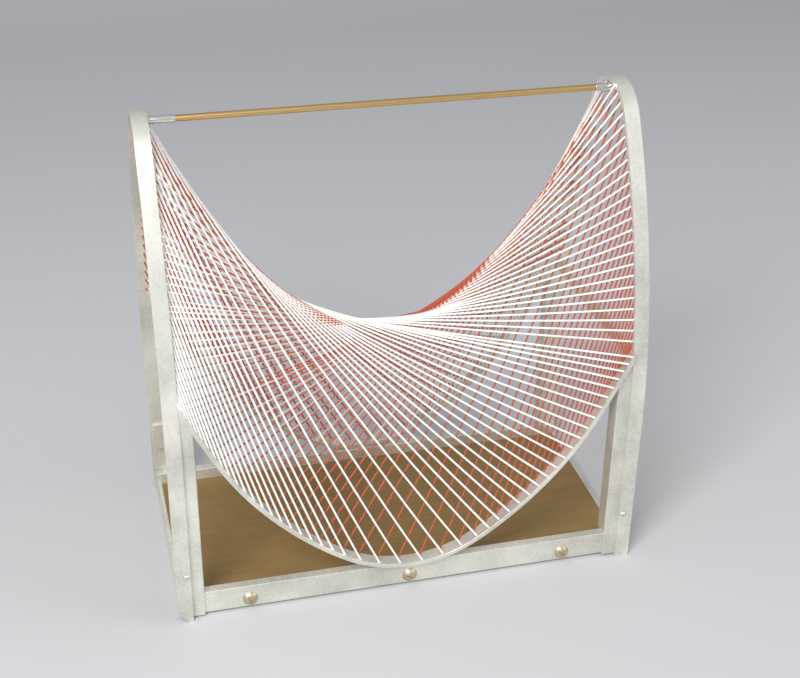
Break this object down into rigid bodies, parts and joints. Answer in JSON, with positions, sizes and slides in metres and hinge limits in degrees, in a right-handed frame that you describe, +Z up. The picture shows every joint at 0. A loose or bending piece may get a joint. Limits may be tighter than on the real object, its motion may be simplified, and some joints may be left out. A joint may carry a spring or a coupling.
{
  "type": "magazine rack",
  "caption": "Table rack of bent light-metal strip on a shallow tray base, with a saddle-shaped sling of white and red string under a brass carrying rod.",
  "frame": {"origin": "middle of the floor footprint, on the floor under the middle of the handle rod", "axes": "+X along the handle rod to the right, +Y from the front bow to the rear bow, +Z up"},
  "size_m": [0.32, 0.1646, 0.329],
  "materials": {
    "bare_aluminium": "bare strip, dulled by handling",
    "tinned_sleeve": "bright tinned sleeve, soft polish",
    "rivet_metal": "bright rivet head",
    "brass": "drawn brass, lightly tarnished",
    "hardboard": "smooth brown hardboard, matt",
    "white_string": "plied cream-white cord",
    "red_string": "plied orange-red cord"
  },
  "bodies": {
    "root": {"base_board": "hardboard", "front_rail": "bare_aluminium", "rear_rail": "bare_aluminium", "left_rail": "bare_aluminium", "right_rail": "bare_aluminium", "left_arch": "bare_aluminium", "right_arch": "bare_aluminium", "front_bow": "bare_aluminium", "rear_bow": "bare_aluminium", "front_left_post": "bare_aluminium", "front_right_post": "bare_aluminium", "rear_left_post": "bare_aluminium", "rear_right_post": "bare_aluminium", "left_tie": "bare_aluminium", "right_tie": "bare_aluminium", "handle_rod": "brass", "left_ferrule": "tinned_sleeve", "right_ferrule": "tinned_sleeve", "front_leg_rivets": "rivet_metal", "rear_leg_rivets": "rivet_metal", "front_rail_screws": "brass", "rear_rail_screws": "brass", "white_strings_left_front": "white_string", "white_strings_right_rear": "white_string", "red_strings_right_front": "red_string", "red_strings_left_rear": "red_string"}
  },
  "joints": []
}
